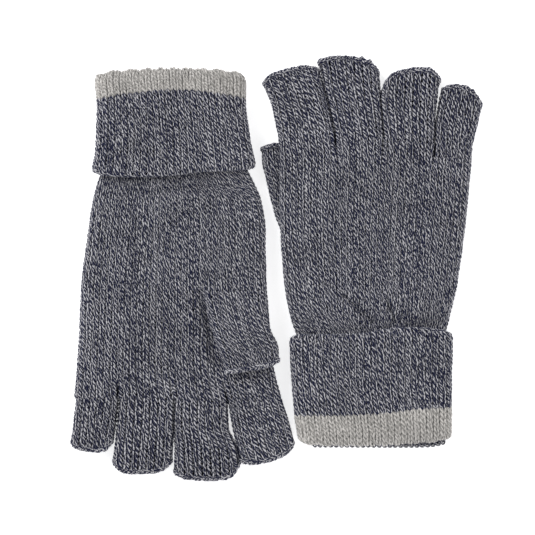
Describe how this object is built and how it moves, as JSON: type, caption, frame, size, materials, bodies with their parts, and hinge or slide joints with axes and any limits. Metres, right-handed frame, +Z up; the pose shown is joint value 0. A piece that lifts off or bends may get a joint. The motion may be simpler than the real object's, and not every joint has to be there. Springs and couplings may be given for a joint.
{
  "type": "fingerless gloves",
  "caption": "Pair of knitted fingerless gloves laid flat, with open finger and thumb stalls and turned-up cuffs ending in a contrast stripe.",
  "frame": {"origin": "on the surface the gloves lie on, under the middle of the pair's outline", "axes": "+Z up from the surface, +Y towards the right glove's fingertips and the left glove's wrist opening, +X from the left glove to the right one"},
  "size_m": [0.2126, 0.2188, 0.018],
  "materials": {
    "marl_knit": "navy and light grey marl yarn in stocking stitch, matt and slightly fuzzy",
    "stripe_knit": "light warm grey yarn in stocking stitch, matt and slightly fuzzy"
  },
  "bodies": {
    "left_glove": {"left_hand": "marl_knit", "left_wrist": "marl_knit", "left_thumb_gusset": "marl_knit"},
    "left_index": {"left_index_stall": "marl_knit", "left_index_rim": "marl_knit"},
    "left_middle": {"left_middle_stall": "marl_knit", "left_middle_rim": "marl_knit"},
    "left_ring": {"left_ring_stall": "marl_knit", "left_ring_rim": "marl_knit"},
    "left_little": {"left_little_stall": "marl_knit", "left_little_rim": "marl_knit"},
    "left_thumb": {"left_thumb_stall": "marl_knit", "left_thumb_rim": "marl_knit"},
    "left_turnup": {"left_cuff": "marl_knit", "left_cuff_stripe": "stripe_knit"},
    "right_glove": {"right_hand": "marl_knit", "right_wrist": "marl_knit"},
    "right_index": {"right_index_stall": "marl_knit", "right_index_rim": "marl_knit"},
    "right_middle": {"right_middle_stall": "marl_knit", "right_middle_rim": "marl_knit"},
    "right_ring": {"right_ring_stall": "marl_knit", "right_ring_rim": "marl_knit"},
    "right_little": {"right_little_stall": "marl_knit", "right_little_rim": "marl_knit"},
    "right_thumb": {"right_thumb_stall": "marl_knit", "right_thumb_rim": "marl_knit"},
    "right_turnup": {"right_cuff": "marl_knit", "right_cuff_stripe": "stripe_knit"}
  },
  "joints": [
    {"name": "left_index_fold", "type": "hinge", "parent": "left_glove", "child": "left_index", "pos_m": [-0.0114, -0.06887, 0.0105], "axis": [-0.9945, -0.1045, 0], "range_deg": [0, 60]},
    {"name": "left_middle_fold", "type": "hinge", "parent": "left_glove", "child": "left_middle", "pos_m": [-0.0403, -0.06842, 0.0105], "axis": [-0.9994, -0.0349, 0], "range_deg": [0, 60]},
    {"name": "left_ring_fold", "type": "hinge", "parent": "left_glove", "child": "left_ring", "pos_m": [-0.0688, -0.06798, 0.0105], "axis": [-1, 0, 0], "range_deg": [0, 60]},
    {"name": "left_little_fold", "type": "hinge", "parent": "left_glove", "child": "left_little", "pos_m": [-0.09464, -0.06757, 0.0105], "axis": [-0.9998, 0.0175, 0], "range_deg": [0, 60]},
    {"name": "left_thumb_lift", "type": "hinge", "parent": "left_glove", "child": "left_thumb", "pos_m": [-0.02175, -0.0119, 0.018], "axis": [-1, 0, 0], "range_deg": [0, 80]},
    {"name": "left_cuff_slide", "type": "slide", "parent": "left_glove", "child": "left_turnup", "axis": [-0.0262, 0.9997, 0], "range_m": [0, 0.045]},
    {"name": "pair_spacing", "type": "slide", "parent": "left_glove", "child": "right_glove", "axis": [1, 0, 0], "range_m": [0, 0.12]},
    {"name": "right_index_fold", "type": "hinge", "parent": "right_glove", "child": "right_index", "pos_m": [0.01485, 0.07266, 0.0105], "axis": [0.9848, 0.1736, 0], "range_deg": [0, 60]},
    {"name": "right_middle_fold", "type": "hinge", "parent": "right_glove", "child": "right_middle", "pos_m": [0.04318, 0.06952, 0.0105], "axis": [0.9945, 0.1045, 0], "range_deg": [0, 60]},
    {"name": "right_ring_fold", "type": "hinge", "parent": "right_glove", "child": "right_ring", "pos_m": [0.06927, 0.06663, 0.0105], "axis": [0.9994, 0.0349, 0], "range_deg": [0, 60]},
    {"name": "right_little_fold", "type": "hinge", "parent": "right_glove", "child": "right_little", "pos_m": [0.09243, 0.06406, 0.0105], "axis": [0.9986, -0.0523, 0], "range_deg": [0, 60]},
    {"name": "right_thumb_drop", "type": "hinge", "parent": "right_glove", "child": "right_thumb", "pos_m": [0.0177, 0.0259, 0], "axis": [-0.9925, -0.1219, 0], "range_deg": [0, 50]},
    {"name": "right_cuff_slide", "type": "slide", "parent": "right_glove", "child": "right_turnup", "axis": [0.0698, -0.9976, 0], "range_m": [0, 0.045]}
  ]
}
